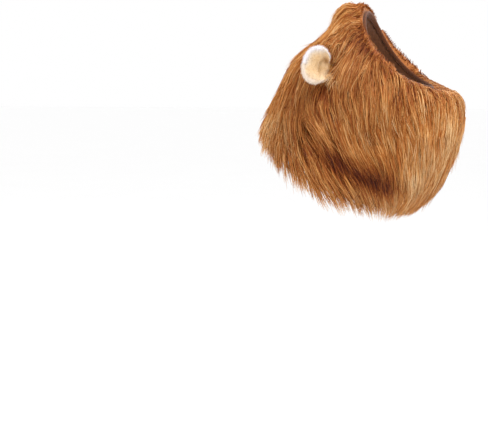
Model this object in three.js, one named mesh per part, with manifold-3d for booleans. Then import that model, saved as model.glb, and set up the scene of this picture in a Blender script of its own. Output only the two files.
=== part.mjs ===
// A pet's lion mane wig, in millimetres, in the form that it has when it is worn.
// +Z is up, X = 0 is the plane of symmetry, and the face opening looks towards -Y and upwards.
// The origin is the crown seat, the point inside the cap's top where the wig is held up.
// A fabric cap is a slanting tube from the face opening to the neck opening, with an elastic hem at each end.
// Long hair in overlapping locks covers it as an upper and a lower mane, and two cupped plush ears stand in the hair.
import * as THREE from "three";
import { mergeVertices } from "three/addons/utils/BufferGeometryUtils.js";
import Module from "manifold-3d";

const wasm = await Module();
wasm.setup();

// The cap. Its openings are measured inside, across the tube.
const faceOpeningHeight = 200;
const faceOpeningWidth = 154;
const neckOpeningDepth = 252;
const neckOpeningWidth = 216;
const capLength = 207;
const capWall = 3;
const crownSeatAlong = 0.2; // share of the cap's length

// The two elastic hems. hemInset is how far a hem stands inside the cap's inner face.
const hemWidth = 11;
const hemThickness = 6;
const hemInset = 1.5;

// The hair. pileDepth is how far it stands off the cap where it is fullest.
const pileDepth = 90;
const skirtHollow = 0.5; // share of the skirt's pile that is left open inside, at its tips
const partingDepth = 15; // how deep the lower mane lies under the upper mane's last locks
const lockThickness = 15;

// The ears. earAlong is a share of the cap's length, and earAngle is turned from the throat towards the nape.
const earHeight = 70;
const earWidth = 82; // laid flat, before its base is curled
const earShellWall = 5;
const earLiningWall = 3;
const earRoll = 6; // width of the shell's rolled edge beside the lining
const earRoot = 20; // how deep the ear's base is set into the hair
const earAlong = 0.46;
const earAngle = 123;
const earTurn = 24; // turned about its own axis, towards the face opening
const earDroop = 29; // leaned away from the face opening

// Clearance between two pieces that touch.
const seamGap = 0.4;

const sides = 32; // steps round the cap and the hair
const rad = THREE.MathUtils.degToRad;

// The neck line: sections of the cap and of the same tube drawn on under the skirt. along, forward and drop are
// shares of the cap's length, from the face opening's centre. tilt is how far the section's front is turned down,
// in degrees. growth goes from 0, the face opening's size, to 1, the neck opening's, and on beyond. sag is how far
// the sides are set back behind the front and the crown, round the cheeks, also as a share of the cap's length.
const neckLine = [
  { along: 0.0, forward: 0.0, drop: 0.0, tilt: 49, growth: 0.0, sag: 0.145 },
  { along: 0.231, forward: -0.14, drop: 0.184, tilt: 41, growth: 0.2, sag: 0.088 },
  { along: 0.48, forward: -0.285, drop: 0.386, tilt: 33, growth: 0.43, sag: 0.03 },
  { along: 0.743, forward: -0.43, drop: 0.604, tilt: 28, growth: 0.72, sag: 0.0 },
  { along: 1.0, forward: -0.575, drop: 0.821, tilt: 25, growth: 1.0, sag: 0.0 },
  { along: 1.253, forward: -0.705, drop: 1.04, tilt: 24, growth: 1.25, sag: 0.0 },
  { along: 1.5, forward: -0.8, drop: 1.262, tilt: 25, growth: 1.5, sag: 0.0 },
];

// The coat: the smooth surface that the locks lie on. along is a share of the cap's length. forward and rise move
// the section's centre, and depth and width widen its half sizes, as shares of the pile. tilt is in degrees.
// droop lets the sides hang lower, also as a share of the pile.
const coat = [
  { along: 0.0, forward: 0.0, rise: 0.0, depth: 0.08, width: 0.08, tilt: 49, droop: 0.0 },
  { along: 0.12, forward: 0.18, rise: 0.13, depth: 0.43, width: 0.38, tilt: 38, droop: 0.03 },
  { along: 0.35, forward: 0.32, rise: 0.05, depth: 0.58, width: 0.68, tilt: 30, droop: 0.05 },
  { along: 0.6, forward: 0.24, rise: -0.05, depth: 0.77, width: 0.84, tilt: 26, droop: 0.08 },
  { along: 0.87, forward: 0.3, rise: -0.17, depth: 0.73, width: 0.84, tilt: 24.5, droop: 0.16 },
  { along: 1.15, forward: 0.35, rise: -0.17, depth: 0.64, width: 0.7, tilt: 24.5, droop: 0.26 },
  { along: 1.42, forward: 0.3, rise: -0.03, depth: 0.45, width: 0.44, tilt: 27, droop: 0.34 },
  { along: 1.72, forward: 0.15, rise: 0.03, depth: 0.2, width: 0.2, tilt: 27, droop: 0.4 },
];

// Where the hair starts, parts and ends, as shares of the cap's length.
const hairStart = 0.015;
const partingStart = 0.78;
const partingEnd = 1.14;
const skirtEnd = 1.38;

// Tiers of locks. along is where they root, as a share of the cap's length. count goes round the wig. length is a
// share of the cap's length, and width a share of the space between two locks. lift is how far the tips stand off
// the coat, as a share of a lock's thickness.
const upperTiers = [
  { along: 0.03, count: 14, length: 0.6, width: 1.25, lift: 0.5 },
  { along: 0.28, count: 16, length: 0.6, width: 1.2, lift: 0.4 },
  { along: 0.57, count: 18, length: 0.56, width: 1.2, lift: 0.4 },
];
const lowerTiers = [
  { along: 0.94, count: 18, length: 0.46, width: 1.2, lift: 0.35 },
  { along: 1.1, count: 20, length: 0.46, width: 1.2, lift: 0.1 },
];

// The crown tuft: locks at the top of the face opening that stand up before they fall back.
const tuft = { along: 0.02, spread: 16, count: 3, length: 0.3, width: 30, lift: 1.5 };

// How a lock's width and thickness change from its root to its tip, and how far it lies above the coat, as a share
// of its thickness.
const lockProfile = [
  { at: 0.0, width: 0.7, thick: 0.7, height: -0.75 },
  { at: 0.22, width: 0.95, thick: 1.0, height: -0.2 },
  { at: 0.5, width: 1.0, thick: 0.95, height: 0.0 },
  { at: 0.78, width: 0.68, thick: 0.7, height: 0.02 },
];

// A lock's section, as shares of its width and of its thickness.
const lockSection = [
  { side: -0.5, high: -0.35 },
  { side: 0, high: 0.5 },
  { side: 0.5, high: -0.35 },
];

// An ear's rows, from its base to its tip. height is a share of the ear's height, width a share of its flat width,
// curl the half angle that the row wraps through, and lean a share of the height that it leans forward.
const earRows = [
  { height: 0.0, width: 0.42, curl: 66, lean: 0.0 },
  { height: 0.2, width: 0.76, curl: 74, lean: 0.0 },
  { height: 0.46, width: 1.0, curl: 60, lean: 0.03 },
  { height: 0.7, width: 0.94, curl: 46, lean: 0.07 },
  { height: 0.88, width: 0.71, curl: 34, lean: 0.12 },
  { height: 1.0, width: 0.26, curl: 16, lean: 0.17 },
];
const earColumns = [-0.6, -0.2, 0.2, 0.6]; // shares of the row inside its rolled edges

// The same number each time for the same pair, from 0 to 1, to vary the locks.
function varied(i, j) {
  const x = Math.sin(i * 12.9898 + j * 78.233) * 43758.5453;
  return x - Math.floor(x);
}

function smooth(x) {
  const t = Math.min(1, Math.max(0, x));
  return t * t * (3 - 2 * t);
}

// A row of a table at any place along it, on a smooth curve through the rows.
function rowAt(table, key, place) {
  const last = table.length - 2;
  let i = 0;
  while (i < last && table[i + 1][key] < place) i++;
  const [a, b] = [table[i], table[i + 1]];
  const [before, after] = [table[i - 1] ?? a, table[i + 2] ?? b];
  const t = (place - a[key]) / (b[key] - a[key]);
  const row = {};
  for (const name of Object.keys(a)) {
    const slopeA = ((b[name] - before[name]) / (b[key] - before[key])) * (b[key] - a[key]);
    const slopeB = ((after[name] - a[name]) / (after[key] - a[key])) * (b[key] - a[key]);
    row[name] =
      (2 * t ** 3 - 3 * t ** 2 + 1) * a[name] +
      (t ** 3 - 2 * t ** 2 + t) * slopeA +
      (3 * t ** 2 - 2 * t ** 3) * b[name] +
      (t ** 3 - t ** 2) * slopeB;
  }
  return row;
}

// A section of the cap's inner face: its centre, half sizes and tilt.
function neckSection(along) {
  const row = rowAt(neckLine, "along", along);
  const mix = (a, b) => a + (b - a) * row.growth;
  return {
    forward: row.forward * capLength,
    z: -row.drop * capLength,
    tilt: rad(row.tilt),
    depth: mix(faceOpeningHeight, neckOpeningDepth) / 2,
    width: mix(faceOpeningWidth, neckOpeningWidth) / 2,
    sag: row.sag * capLength,
  };
}

// The same for the coat. open goes from 0, at the cap, to 1, at the coat's own surface.
function coatSection(along, open = 1) {
  const neck = neckSection(along);
  const row = rowAt(coat, "along", along);
  const base = open === 1 ? capWall : capWall + seamGap;
  return {
    forward: neck.forward + row.forward * pileDepth * open,
    z: neck.z + row.rise * pileDepth * open,
    tilt: neck.tilt + (rad(row.tilt) - neck.tilt) * open,
    depth: neck.depth + base + row.depth * pileDepth * open,
    width: neck.width + base + row.width * pileDepth * open,
    droop: row.droop * pileDepth * open,
    sag: neck.sag,
  };
}

// A point of a section. angle is 0 at the throat, 90 and -90 at the sides and 180 at the nape, in radians. more
// widens the section evenly.
function pointOn(section, angle, more = 0) {
  const depth = (section.depth + more) * Math.cos(angle);
  const side = Math.sin(angle) ** 2;
  const [sag, droop] = [section.sag * side, (section.droop ?? 0) * side];
  return new THREE.Vector3(
    (section.width + more) * Math.sin(angle),
    -(section.forward + depth * Math.cos(section.tilt)) + sag * Math.sin(section.tilt),
    section.z - depth * Math.sin(section.tilt) - sag * Math.cos(section.tilt) - droop,
  );
}

// Everything is moved by this, so that the crown seat is at the origin.
const crownSeat = pointOn(neckSection(crownSeatAlong), Math.PI);

function ring(section, more = 0) {
  const points = [];
  for (let i = 0; i < sides; i++) points.push(pointOn(section, (2 * Math.PI * i) / sides, more).sub(crownSeat));
  return points;
}

// A solid from vertices and triangles, turned to face outwards whichever way its triangles ran.
function solid(points, triangles) {
  const geometry = new THREE.BufferGeometry().setFromPoints(points);
  geometry.setIndex(triangles);
  const merged = mergeVertices(geometry, 1e-4);
  const kept = [];
  for (let i = 0; i < triangles.length; i += 3) {
    const [a, b, c] = merged.index.array.slice(i, i + 3);
    if (a !== b && b !== c && c !== a) kept.push(a, b, c);
  }
  const triVerts = new Uint32Array(kept);
  const position = merged.getAttribute("position");
  const [a, b, c] = [new THREE.Vector3(), new THREE.Vector3(), new THREE.Vector3()];
  let volume = 0;
  for (let i = 0; i < triVerts.length; i += 3) {
    a.fromBufferAttribute(position, triVerts[i]);
    b.fromBufferAttribute(position, triVerts[i + 1]);
    c.fromBufferAttribute(position, triVerts[i + 2]);
    volume += a.dot(b.cross(c));
  }
  if (volume < 0) triVerts.reverse();
  return new wasm.Manifold(new wasm.Mesh({ numProp: 3, vertProperties: position.array, triVerts }));
}

// Triangles between rings of equal size. wrap joins the last ring to the first, for a hollow wall. From ring number
// turned on, or from side number mirrored on, each quad is split along its other diagonal, so that faces that lie
// against each other match.
function bands(rings, wrap, turned = rings.length, mirrored = rings[0].length) {
  const n = rings[0].length;
  const triangles = [];
  for (let r = 0; r < rings.length - (wrap ? 0 : 1); r++) {
    const [low, high] = [r * n, ((r + 1) % rings.length) * n];
    for (let i = 0; i < n; i++) {
      const j = (i + 1) % n;
      if ((r >= turned && r < rings.length - 1) || i >= mirrored) {
        triangles.push(low + i, low + j, high + i, low + j, high + j, high + i);
      } else {
        triangles.push(low + i, low + j, high + j, low + i, high + j, high + i);
      }
    }
  }
  return triangles;
}

// A tube with an outer and an inner face, both lists of rings from one end to the other.
function hollow(outer, inner) {
  const rings = [...outer, ...inner.slice().reverse()];
  return solid(rings.flat(), bands(rings, true, outer.length - 1));
}

// A closed body through rings. Each end is closed by a strip across it, which suits a curved end too.
function loft(rings, mirrored) {
  const n = rings[0].length;
  const triangles = bands(rings, false, undefined, mirrored);
  const end = (rings.length - 1) * n;
  for (let a = 0, b = n - 1; a + 1 < b; a++, b--) {
    triangles.push(a, b, a + 1, end + a, end + a + 1, end + b);
    if (a + 2 < b) triangles.push(a + 1, b, b - 1, end + a + 1, end + b - 1, end + b);
  }
  return solid(rings.flat(), triangles);
}

function steps(from, to, count) {
  return Array.from({ length: count + 1 }, (_, i) => from + ((to - from) * i) / count);
}

// The cap lies between the two hems. Its rows are the hair's inner rows too.
const hemEnd = hemWidth / capLength;
const gapAlong = seamGap / capLength;
const capStart = hemEnd + gapAlong;
const upperRows = steps(capStart, partingStart, 4);
const lowerRows = steps(partingStart, 1 - capStart, 2);
const partingRows = [...lowerRows, 1, ...steps(1, partingEnd, 2).slice(1)];

function capBody() {
  const places = [...upperRows, ...lowerRows.slice(1)];
  return hollow(
    places.map((along) => ring(neckSection(along), capWall)),
    places.map((along) => ring(neckSection(along))),
  );
}

// A hem: an elastic cord in a fold of the fabric, rounded on its four edges.
const hemStand = hemThickness - hemInset;

function hemBody(start) {
  const places = steps(start, start + hemEnd, 2);
  const rounded = (i, out, flat) => (i === 1 ? out : flat);
  return hollow(
    places.map((along, i) => ring(neckSection(along), rounded(i, hemStand, hemStand - hemInset))),
    places.map((along, i) => ring(neckSection(along), rounded(i, -hemInset, 0))),
  );
}

// The hair's inner face: over the hems and the cap first, and then opening out inside the skirt.
function overHem(along) {
  return ring(neckSection(along), hemStand + seamGap);
}

function overCap(along) {
  return ring(neckSection(along), capWall + seamGap);
}

function insideSkirt(along) {
  return ring(coatSection(along, skirtHollow * smooth((along - 1) / (skirtEnd - 1))), hemStand - capWall);
}

// The surface between the upper mane's last locks and the lower mane under them.
function partingRing(along, more) {
  const rise = smooth((along - partingStart) / (partingEnd - partingStart));
  return ring(coatSection(along), more - partingDepth * (1 - 0.75 * rise));
}

// The coat's point, its outward direction and its two tangents at a place.
function coatFrame(along, angle) {
  const near = 1e-3;
  const point = pointOn(coatSection(along), angle);
  const down = pointOn(coatSection(along + near), angle).sub(point).divideScalar(near);
  const round = pointOn(coatSection(along), angle + near).sub(point).divideScalar(near);
  const out = new THREE.Vector3().crossVectors(down, round).normalize();
  if (out.dot(new THREE.Vector3(Math.sin(angle), -Math.cos(angle), 0)) < 0) out.negate();
  return { point: point.sub(crownSeat), down, round, out };
}

// The way the hair lies: away from the face opening first, then falling, with the sides swept a little forwards.
function hairWay(frame, along, angle) {
  const away = frame.down.clone().normalize();
  const fall = new THREE.Vector3(0, -0.5 * Math.abs(Math.sin(angle)) * smooth(1.2 - Math.abs(angle) / 2.2), -1);
  fall.addScaledVector(frame.out, -fall.dot(frame.out));
  return away.lerp(fall, 0.75 * smooth(along / 0.55)).normalize();
}

// Places along a lock on the coat, from its root: each with its point, outward direction and way.
function hairPath(along, angle, length, ats) {
  const path = [];
  const step = length / 24;
  let walked = 0;
  for (const at of ats) {
    while (walked < at * length - step / 2) {
      const frame = coatFrame(along, angle);
      const way = hairWay(frame, along, angle);
      const [dd, dr, rr] = [frame.down.dot(frame.down), frame.down.dot(frame.round), frame.round.dot(frame.round)];
      const [wd, wr] = [way.dot(frame.down), way.dot(frame.round)];
      const area = dd * rr - dr * dr;
      along += (step * (wd * rr - wr * dr)) / area;
      angle += (step * (wr * dd - wd * dr)) / area;
      walked += step;
    }
    const frame = coatFrame(along, angle);
    path.push({ ...frame, way: hairWay(frame, along, angle) });
  }
  return path;
}

// One lock: a flattened, ridged strand that comes out of the coat, lies along it and ends in a point.
function lock(along, angle, length, width, lift) {
  const path = hairPath(along, angle, length, [...lockProfile.map((p) => p.at), 1]);
  const tip = path.pop();
  const rings = [];
  for (const [i, { point, out, way }] of path.entries()) {
    const p = lockProfile[i];
    const across = new THREE.Vector3().crossVectors(way, out).normalize();
    const rise = lockThickness * (p.height + lift * p.at ** 3);
    const thick = lockThickness * p.thick;
    rings.push(
      lockSection.map(({ side, high }) =>
        point.clone().addScaledVector(across, side * width * p.width).addScaledVector(out, rise + high * thick),
      ),
    );
  }
  rings.push(lockSection.map(() => tip.point.clone().addScaledVector(tip.out, lockThickness * lift)));
  return loft(rings);
}

function tierLocks(tier, number) {
  const locks = [];
  const half = coatSection(tier.along + tier.length / 2);
  const spacing = (2 * Math.PI * Math.hypot(half.depth, half.width)) / Math.SQRT2 / tier.count;
  for (let i = 0; i < tier.count; i++) {
    const shift = (number % 2) / 2 + 0.35 * (varied(i, number) - 0.5);
    const angle = ((2 * Math.PI) / tier.count) * (i + shift);
    const wrapped = angle > Math.PI ? angle - 2 * Math.PI : angle;
    const length = tier.length * capLength * (0.88 + 0.24 * varied(i, number + 10));
    const width = tier.width * spacing * (0.85 + 0.3 * varied(i, number + 20));
    locks.push(lock(tier.along, wrapped, length, width, tier.lift));
  }
  return locks;
}

function tuftLocks() {
  return steps(-1, 1, tuft.count - 1).map((side) =>
    lock(tuft.along, Math.PI - rad(tuft.spread * (side + 0.1)), tuft.length * capLength, tuft.width, tuft.lift),
  );
}

// The largest body of a solid, without its finest edges and the slivers of hair that a cut leaves loose.
function tidied(body) {
  const bodies = body.asOriginal().simplify(seamGap / 2).decompose();
  return bodies.sort((a, b) => b.volume() - a.volume())[0];
}

// An ear's own frame on the coat: across its width, forward out of its cup, and up from its base to its tip.
function earFrame() {
  const frame = coatFrame(earAlong, rad(-earAngle));
  const down = frame.down.clone().normalize();
  const up = frame.out.clone().applyAxisAngle(new THREE.Vector3().crossVectors(frame.out, down), rad(earDroop));
  const forward = new THREE.Vector3().crossVectors(up, down).applyAxisAngle(up, rad(earTurn)).normalize();
  const across = new THREE.Vector3().crossVectors(forward, up).normalize();
  return { point: frame.point, up, forward, across };
}

// An ear's two layers. first and second are the distances of a layer's faces behind the ear's curled middle
// surface. inset takes the free edge in from the ear's own, lip brings that edge forwards, and below is how deep the
// base goes.
const liningFront = -seamGap - earLiningWall;
const earShell = { first: earShellWall, second: 0, inset: 0, lip: -liningFront, below: earRoot };
const earLining = { first: liningFront, second: -seamGap, inset: earRoll + seamGap, lip: 0, below: earRoot / 2 };

// A layer of the ear at -X, where side is 1, or at X, where it is -1. grow widens it evenly.
function earLayer(side, layer, grow = 0) {
  const frame = earFrame();
  const outwards = Math.sign(layer.first - layer.second) * grow;
  const inset = layer.inset - grow;
  const rolled = 1 - earRoll / earHeight;
  const top = 1 - inset / earHeight;
  const heights = earRows.map((row) => row.height).filter((height) => height < rolled - 0.05);
  heights.unshift(-(layer.below + grow) / earHeight);
  heights.push(...(top > rolled ? [rolled, top] : [top]));
  const rings = heights.map((height) => {
    const row = rowAt(earRows, "height", Math.max(0, height));
    const half = (row.width * earWidth) / 2;
    const radius = half / rad(row.curl);
    const [edge, inner] = [1 - inset / half, 1 - earRoll / half];
    const middle = earColumns.map((column) => column * inner);
    const shares = edge > inner ? [-edge, -inner, ...middle, inner, edge] : [-edge, ...middle, edge];
    const place = (share, offset) => {
      const turn = rad(row.curl) * share;
      const point = frame.point.clone();
      point.addScaledVector(frame.across, (radius + offset) * Math.sin(turn));
      point.addScaledVector(frame.forward, radius - (radius + offset) * Math.cos(turn) + row.lean * earHeight);
      point.addScaledVector(frame.up, height * earHeight);
      return point.setX(point.x * side);
    };
    const lip = (share) => (height === top || Math.abs(share) === edge ? layer.lip : 0);
    return [
      ...shares.map((share) => place(share, layer.first + outwards)),
      ...shares.toReversed().map((share) => place(share, layer.second - outwards - lip(share))),
    ];
  });
  return loft(rings, rings[0].length / 2);
}

// What an ear takes out of the hair.
function earRoom(side) {
  return earLayer(side, { ...earShell, second: liningFront - 3 * seamGap, lip: 0 }, seamGap);
}

function upperMane() {
  const places = [hairStart, hemEnd + 2 * gapAlong, ...upperRows.slice(1)];
  const base = hollow(
    places.map((along) => ring(coatSection(along))),
    places.map((along, i) => (i < 2 ? overHem(along) : overCap(along))),
  );
  const locks = wasm.Manifold.union([...upperTiers.flatMap(tierLocks), ...tuftLocks()]);
  const above = steps(-0.15, partingStart, 6);
  const capRoom = loft(above.map((along) => ring(neckSection(along), hemThickness)));
  const below = steps(partingEnd, skirtEnd + 0.2, 3);
  const under = [partingStart + gapAlong, ...partingRows.slice(1), ...below.slice(1)];
  const lowerRoom = hollow(
    under.map((along) => partingRing(along, seamGap / 2)),
    under.map((along) => ring(neckSection(along))),
  );
  const skirtRoom = hollow(
    below.map((along) => ring(coatSection(along), 4 * lockThickness)),
    below.map((along) => partingRing(along, -lockThickness)),
  );
  const hair = base.add(locks.subtract(capRoom.add(lowerRoom).add(skirtRoom)));
  return tidied(hair.subtract(earRoom(1)).subtract(earRoom(-1)));
}

function lowerMane() {
  const under = [partingStart + 2 * gapAlong, ...partingRows.slice(1)];
  const skirt = steps(partingEnd, skirtEnd, 3).slice(1);
  const inner = (along) => (along < 1 - capStart ? overCap(along) : along < 1 ? overHem(along) : insideSkirt(along));
  const base = hollow(
    [...under.map((along) => partingRing(along, -seamGap / 2)), ...skirt.map((along) => ring(coatSection(along)))],
    [...under, ...skirt].map(inner),
  );
  const locks = wasm.Manifold.union(lowerTiers.flatMap((tier, i) => tierLocks(tier, i + upperTiers.length)));
  const cut = steps(partingStart - 0.1, partingEnd + 2 * gapAlong, 6);
  const upperRoom = hollow(
    cut.map((along) => ring(coatSection(along), 4 * lockThickness)),
    cut.map((along) => partingRing(along, -seamGap / 2 - lockThickness / 6)),
  );
  return tidied(base.add(locks.subtract(upperRoom)));
}

// Where two sheets of a surface only just touch, their corners are drawn apart, each towards its neighbours.
function drawnApart(positions, triangles) {
  const at = (i) => new THREE.Vector3().fromArray(positions, 3 * i);
  const places = new Map();
  for (let i = 0; i < positions.length / 3; i++) {
    const place = at(i).toArray().map((x) => x.toFixed(3)).join();
    places.set(place, [...(places.get(place) ?? []), i]);
  }
  for (const i of [...places.values()].filter((touching) => touching.length > 1).flat()) {
    const middle = new THREE.Vector3();
    let corners = 0;
    for (let t = 0; t < triangles.length; t += 3) {
      const corner = triangles.subarray(t, t + 3);
      if (!corner.includes(i)) continue;
      corner.forEach((j) => middle.add(at(j)));
      corners += 3;
    }
    at(i).lerp(middle.divideScalar(corners), 0.2).toArray(positions, 3 * i);
  }
}

const finishes = {
  fabric: { color: 0x6b4126, roughness: 0.95, metalness: 0 },
  hair: { color: 0xad6f3c, roughness: 0.6, metalness: 0 },
  darkHair: { color: 0x9a5e30, roughness: 0.6, metalness: 0 },
  plush: { color: 0xf3ece4, roughness: 0.95, metalness: 0 },
  creamPlush: { color: 0xe8c79a, roughness: 0.95, metalness: 0 },
};

// A named mesh of a solid.
function piece(name, body, finish) {
  const mesh = body.getMesh();
  const positions = new Float32Array(mesh.numVert * 3);
  for (let i = 0; i < mesh.numVert; i++) {
    positions.set(mesh.vertProperties.subarray(i * mesh.numProp, i * mesh.numProp + 3), i * 3);
  }
  drawnApart(positions, mesh.triVerts);
  const geometry = new THREE.BufferGeometry();
  geometry.setAttribute("position", new THREE.BufferAttribute(positions, 3));
  geometry.setIndex(new THREE.BufferAttribute(mesh.triVerts, 1));
  geometry.computeVertexNormals();
  const made = new THREE.Mesh(geometry, new THREE.MeshStandardMaterial(finishes[finish]));
  made.name = name;
  return made;
}

const wig = new THREE.Group();
wig.name = "lion_mane_wig";
wig.add(piece("base_cap", capBody(), "fabric"));
wig.add(piece("face_hem", hemBody(0), "fabric"));
wig.add(piece("neck_hem", hemBody(1 - hemEnd), "fabric"));
wig.add(piece("upper_mane", upperMane(), "hair"));
wig.add(piece("lower_mane", lowerMane(), "darkHair"));
for (const [name, side] of [["right", 1], ["left", -1]]) {
  wig.add(piece(`ear_${name}_shell`, earLayer(side, earShell), "plush"));
  wig.add(piece(`ear_${name}_lining`, earLayer(side, earLining), "creamPlush"));
}

export default wig;
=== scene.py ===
# A pet's lion mane wig, in metres, in the form that it has when it is worn.
# A knit cap with an elastic hem at each end carries long hair in layers and two cupped plush ears.
import math

import bpy
import numpy as np
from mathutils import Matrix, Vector


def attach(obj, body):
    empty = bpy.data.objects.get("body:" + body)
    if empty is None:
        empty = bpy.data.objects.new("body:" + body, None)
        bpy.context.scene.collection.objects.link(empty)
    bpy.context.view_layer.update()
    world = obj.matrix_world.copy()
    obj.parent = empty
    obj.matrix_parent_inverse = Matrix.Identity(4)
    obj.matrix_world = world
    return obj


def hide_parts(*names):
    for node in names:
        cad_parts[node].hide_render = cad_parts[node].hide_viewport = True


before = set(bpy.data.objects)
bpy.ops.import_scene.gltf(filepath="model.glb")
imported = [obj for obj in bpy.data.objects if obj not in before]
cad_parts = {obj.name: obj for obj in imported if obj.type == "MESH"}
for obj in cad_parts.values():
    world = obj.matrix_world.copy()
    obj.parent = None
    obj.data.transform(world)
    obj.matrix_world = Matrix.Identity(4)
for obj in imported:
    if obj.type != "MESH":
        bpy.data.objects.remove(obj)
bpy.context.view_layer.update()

# The cap. Its openings are measured inside, across the tube.
FACE_OPENING = (0.154, 0.200)  # width, height
NECK_OPENING = (0.216, 0.252)  # width, depth
CAP_LENGTH = 0.207
CAP_WALL = 0.003
HEM_WIDTH = 0.011
HEM_THICKNESS = 0.006
HEM_INSET = 0.0015
HEM_STAND = HEM_THICKNESS - HEM_INSET
HEM_END = HEM_WIDTH / CAP_LENGTH
CROWN_SEAT_ALONG = 0.2

# The hair. The skirt's inner face opens out below the cap, and UNDER_GAP keeps the hair off the cap and the hems.
PILE_DEPTH = 0.090
SKIRT_END = 1.38
SKIRT_HOLLOW = 0.5
UNDER_GAP = 0.0006

# The cap's line from the face opening to the neck opening: along, forward, drop, tilt in degrees, growth, sag
NECK_LINE = np.array([
    (0.0, 0.0, 0.0, 49, 0.0, 0.145),
    (0.231, -0.14, 0.184, 41, 0.2, 0.088),
    (0.48, -0.285, 0.386, 33, 0.43, 0.03),
    (0.743, -0.43, 0.604, 28, 0.72, 0.0),
    (1.0, -0.575, 0.821, 25, 1.0, 0.0),
    (1.253, -0.705, 1.04, 24, 1.25, 0.0),
    (1.5, -0.8, 1.262, 25, 1.5, 0.0),
])

# The coat, which the locks lie on: along, forward, rise, depth, width, tilt in degrees, droop
COAT = np.array([
    (0.0, 0.0, 0.0, 0.08, 0.08, 49, 0.0),
    (0.12, 0.18, 0.13, 0.43, 0.38, 38, 0.03),
    (0.35, 0.32, 0.05, 0.58, 0.68, 30, 0.05),
    (0.6, 0.24, -0.05, 0.77, 0.84, 26, 0.08),
    (0.87, 0.3, -0.17, 0.73, 0.84, 24.5, 0.16),
    (1.15, 0.35, -0.17, 0.64, 0.7, 24.5, 0.26),
    (1.42, 0.3, -0.03, 0.45, 0.44, 27, 0.34),
    (1.72, 0.15, 0.03, 0.2, 0.2, 27, 0.4),
])

# The ears, and their rows from base to tip: height, width, half wrap in degrees, lean
EAR_HEIGHT = 0.070
EAR_WIDTH = 0.082
EAR_ROOT = 0.020
EAR_ALONG = 0.46
EAR_ANGLE = math.radians(123)
EAR_TURN = math.radians(24)
EAR_DROOP = math.radians(29)
EAR_ROWS = np.array([
    (0.0, 0.42, 66, 0.0),
    (0.2, 0.76, 74, 0.0),
    (0.46, 1.0, 60, 0.03),
    (0.7, 0.94, 46, 0.07),
    (0.88, 0.71, 34, 0.12),
    (1.0, 0.26, 16, 0.17),
])
# The part of an ear's root that no hair grows through, in its own frame
EAR_ROOT_MIDDLE = (0.004, 0.010)  # across, forward
EAR_ROOT_RADIUS = 0.0135
EAR_ROOT_SPAN = (-0.014, 0.03)  # up


def smooth(x):
    t = np.clip(x, 0, 1)
    return t * t * (3 - 2 * t)


def unit(vectors):
    return vectors / np.linalg.norm(vectors, axis=-1, keepdims=True)


def dot(a, b):
    return (a * b).sum(-1, keepdims=True)


def rows_at(table, place):
    """The columns of a table at any places along it, on a smooth curve through its rows."""
    place = np.asarray(place, float)
    key = table[:, 0]
    i = np.clip(np.searchsorted(key, place) - 1, 0, len(key) - 2)
    a, b = table[i], table[i + 1]
    before, after = table[np.maximum(i - 1, 0)], table[np.minimum(i + 2, len(key) - 1)]
    step = (b - a)[..., :1]
    t = (place[..., None] - a[..., :1]) / step
    slope_a = (b - before) / (b - before)[..., :1] * step
    slope_b = (after - a) / (after - a)[..., :1] * step
    return (
        (2 * t**3 - 3 * t**2 + 1) * a
        + (t**3 - 2 * t**2 + t) * slope_a
        + (3 * t**2 - 2 * t**3) * b
        + (t**3 - t**2) * slope_b
    )


def section_point(along, angle, hair=0.0, more=0.0):
    """A point round the cap's inner face. hair goes from 0 there to 1 at the coat's surface, and more widens it."""
    along, angle = np.broadcast_arrays(np.asarray(along, float), np.asarray(angle, float))
    neck = rows_at(NECK_LINE, along)
    coat = rows_at(COAT, along)
    pile = PILE_DEPTH * hair
    growth = neck[..., 4]
    forward = neck[..., 1] * CAP_LENGTH + coat[..., 1] * pile
    rise = -neck[..., 2] * CAP_LENGTH + coat[..., 2] * pile
    tilt = np.radians(neck[..., 3] + (coat[..., 5] - neck[..., 3]) * hair)
    wall = CAP_WALL * (hair > 0) + more
    width, depth = (
        (at_face + (at_neck - at_face) * growth) / 2 + wall + coat[..., column] * pile
        for at_face, at_neck, column in zip(FACE_OPENING, NECK_OPENING, (4, 3))
    )
    front = depth * np.cos(angle)
    side = np.sin(angle) ** 2
    sag = neck[..., 5] * CAP_LENGTH * side
    return np.stack([
        width * np.sin(angle),
        -(forward + front * np.cos(tilt)) + sag * np.sin(tilt),
        rise - front * np.sin(tilt) - sag * np.cos(tilt) - coat[..., 6] * pile * side,
    ], -1)


CROWN_SEAT = section_point(CROWN_SEAT_ALONG, math.pi)


def coat_frame(along, angle):
    """The coat's point, its two tangents and its outward direction."""
    near = 1e-3
    point = section_point(along, angle, 1.0)
    down = (section_point(along + near, angle, 1.0) - point) / near
    around = (section_point(along, angle + near, 1.0) - point) / near
    out = unit(np.cross(down, around))
    outwards = np.stack([np.sin(angle), -np.cos(angle), np.zeros_like(angle)], -1)
    out = np.where(dot(out, outwards) < 0, -out, out)
    return point - CROWN_SEAT, down, around, out


def hair_way(down, out, along, angle):
    """The way the hair lies: away from the face opening, then falling. The sides sweep forwards, most of all where
    the upper mane's long locks cross the parting."""
    turned = np.abs(angle)
    at_front = 0.5 * smooth(1.2 - turned / 2.2)
    low = 0.42 * smooth((along - 0.55) / 0.6)
    crossing = 0.6 * np.exp(-(((along - 0.93) / 0.22) ** 2) - ((turned - 1.8) / 0.45) ** 2)
    sweep = -np.abs(np.sin(angle)) * (at_front + low) - crossing
    fall = np.stack([np.zeros_like(sweep), sweep, -np.ones_like(sweep)], -1)
    fall = fall - out * dot(fall, out)
    share = 0.75 * smooth(along / 0.55)[..., None]
    return unit(unit(down) * (1 - share) + fall * share)


# Nodes


def math_node(operation, swapped=False):
    """A method of Field that adds a Math node to its tree. swapped puts the field last."""
    def method(*terms):
        sockets = dict(enumerate(terms[::-1] if swapped else terms))
        return terms[0].tree.node("ShaderNodeMath", {"operation": operation}, sockets)
    return method


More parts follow.
